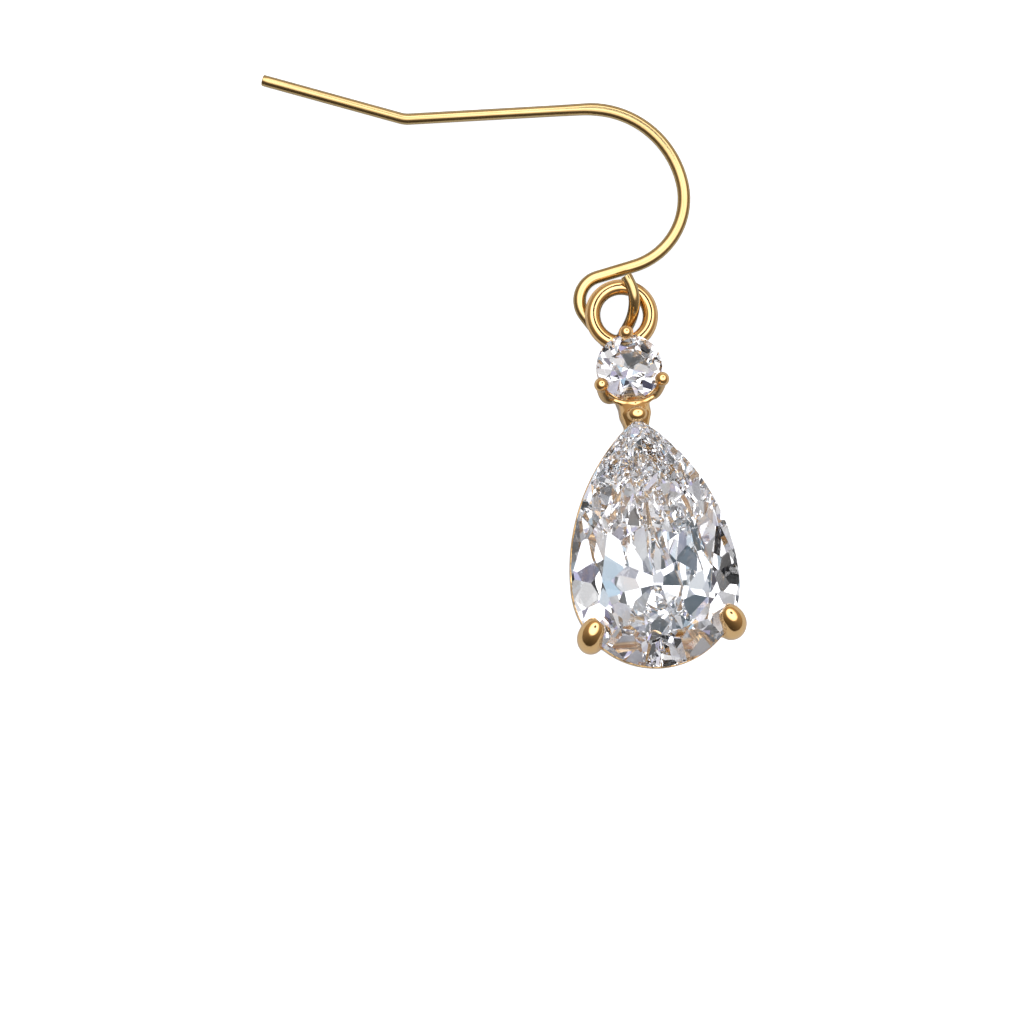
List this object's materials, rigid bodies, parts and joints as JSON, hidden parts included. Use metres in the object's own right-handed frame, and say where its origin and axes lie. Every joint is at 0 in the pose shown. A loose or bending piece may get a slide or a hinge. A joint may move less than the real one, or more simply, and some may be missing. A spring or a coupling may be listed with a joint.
{
  "type": "teardrop earring",
  "caption": "Fish-hook drop earring lying flat: a gold-coloured ear wire through a ring, a small round stone and a large pear-shaped stone in claw settings.",
  "frame": {"origin": "centre of the bounding box, on the surface that the earring lies on", "axes": "+Z up, out of the stones' faces; +Y along the drop towards the ear wire; +X to the right seen from above with +Y up"},
  "size_m": [0.0294, 0.0364, 0.007],
  "materials": {
    "ear_wire": "polished, pale gold plate over brass wire",
    "setting": "polished, warm gold plate over cast brass",
    "stones": "clear cubic zirconia, facets polished"
  },
  "bodies": {
    "root": {"ear_hook": "ear_wire", "drop_setting": "setting", "round_stone": "stones", "pear_stone": "stones"}
  },
  "joints": []
}
